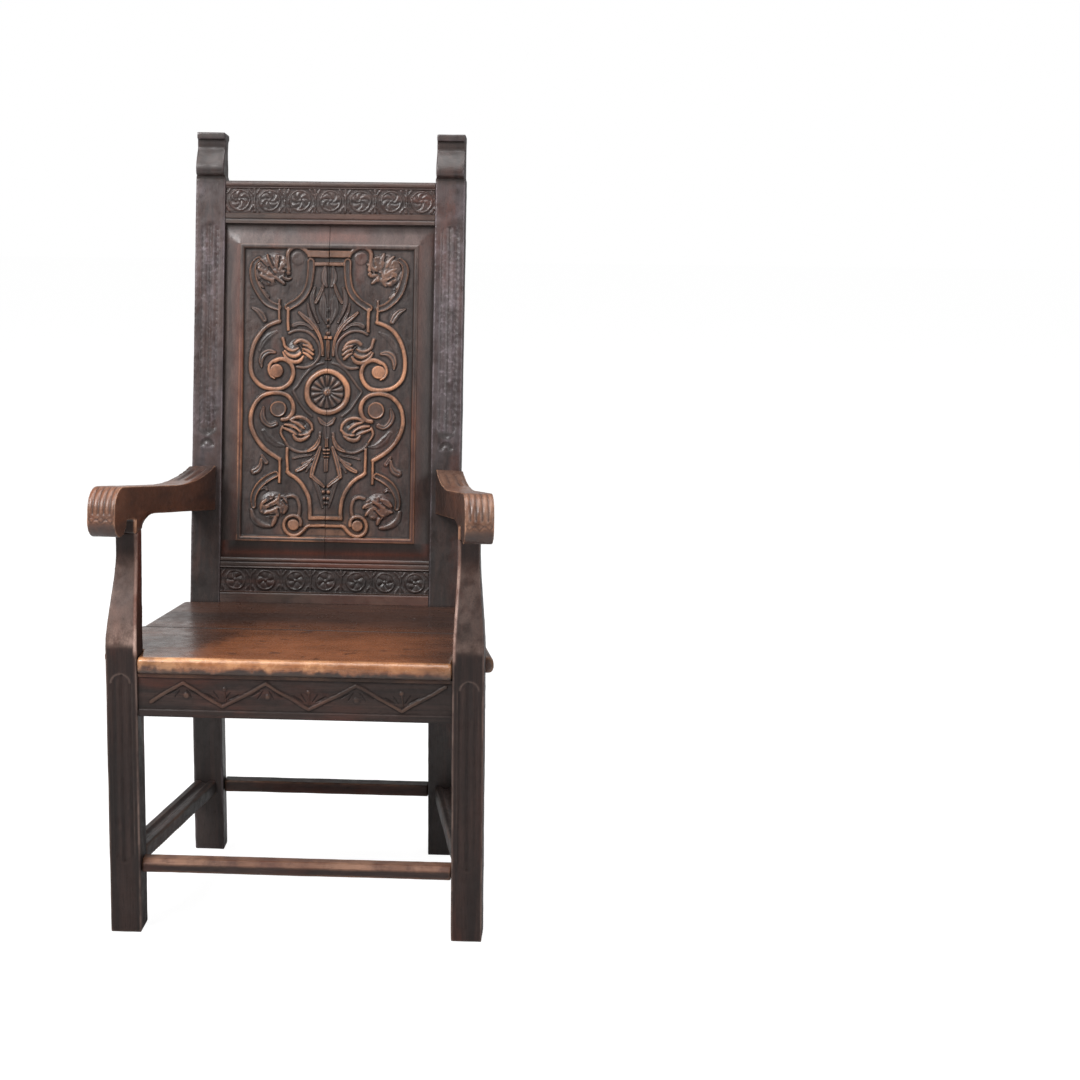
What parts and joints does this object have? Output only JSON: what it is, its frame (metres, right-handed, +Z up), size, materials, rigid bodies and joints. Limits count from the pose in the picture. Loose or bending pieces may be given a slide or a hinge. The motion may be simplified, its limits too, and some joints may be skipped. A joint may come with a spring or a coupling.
{
  "type": "wainscot chair",
  "caption": "Joined oak wainscot armchair with a raked carved and fielded panel back, scrolled arms on swept supports, a boarded seat and box stretchers.",
  "frame": {"origin": "on the floor, under the middle of the chair's bounding box", "axes": "+X to the right as seen from the front, across the chair; +Y from the front to the back; +Z up"},
  "size_m": [0.6214, 0.6099, 1.2397],
  "materials": {
    "oak_frame": "dark waxed oak, rubbed",
    "oak_panel": "dark waxed oak, carved",
    "oak_arms": "dark waxed oak, polished by wear",
    "oak_seat": "worn waxed oak",
    "oak_stretchers": "dark waxed oak, worn top edges",
    "oak_pegs": "dark cleft oak"
  },
  "bodies": {
    "root": {"crest_rail": "oak_frame", "lower_back_rail": "oak_frame", "back_post_left": "oak_frame", "back_post_right": "oak_frame", "back_panel_board_left": "oak_panel", "back_panel_board_right": "oak_panel", "front_post_left": "oak_frame", "front_post_right": "oak_frame", "arm_left": "oak_arms", "arm_right": "oak_arms", "seat_board_front": "oak_seat", "seat_board_rear": "oak_seat", "front_seat_rail": "oak_frame", "rear_seat_rail": "oak_frame", "side_seat_rail_left": "oak_frame", "side_seat_rail_right": "oak_frame", "front_stretcher": "oak_stretchers", "back_stretcher": "oak_stretchers", "side_stretcher_left": "oak_stretchers", "side_stretcher_right": "oak_stretchers", "arm_pegs": "oak_pegs", "side_rail_pegs": "oak_pegs", "stretcher_pegs": "oak_pegs"}
  },
  "joints": []
}
